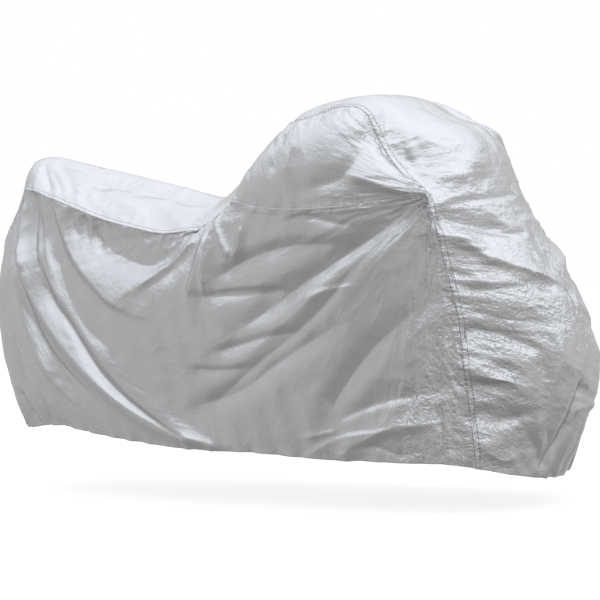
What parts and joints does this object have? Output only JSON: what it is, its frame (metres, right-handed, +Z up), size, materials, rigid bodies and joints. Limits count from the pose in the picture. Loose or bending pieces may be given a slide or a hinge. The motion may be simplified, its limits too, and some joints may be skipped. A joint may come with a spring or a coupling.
{
  "type": "motorcycle cover",
  "caption": "Fitted cover of silver-coated cloth with sewn panels, draped over a motorcycle's shape, hollow and open below.",
  "frame": {"origin": "under the cover's top, where what it covers holds it up, 1.24 m above the ground", "axes": "+X forward along the cover, +Y to its left, +Z up"},
  "size_m": [2.1719, 0.7278, 1.1563],
  "materials": {
    "silver_cloth": "silver-coated woven cloth, softly shiny and finely crinkled"
  },
  "bodies": {
    "root": {"centre_panel": "silver_cloth", "skirt_right": "silver_cloth", "skirt_left": "silver_cloth", "gusset_right": "silver_cloth", "gusset_left": "silver_cloth"}
  },
  "joints": []
}
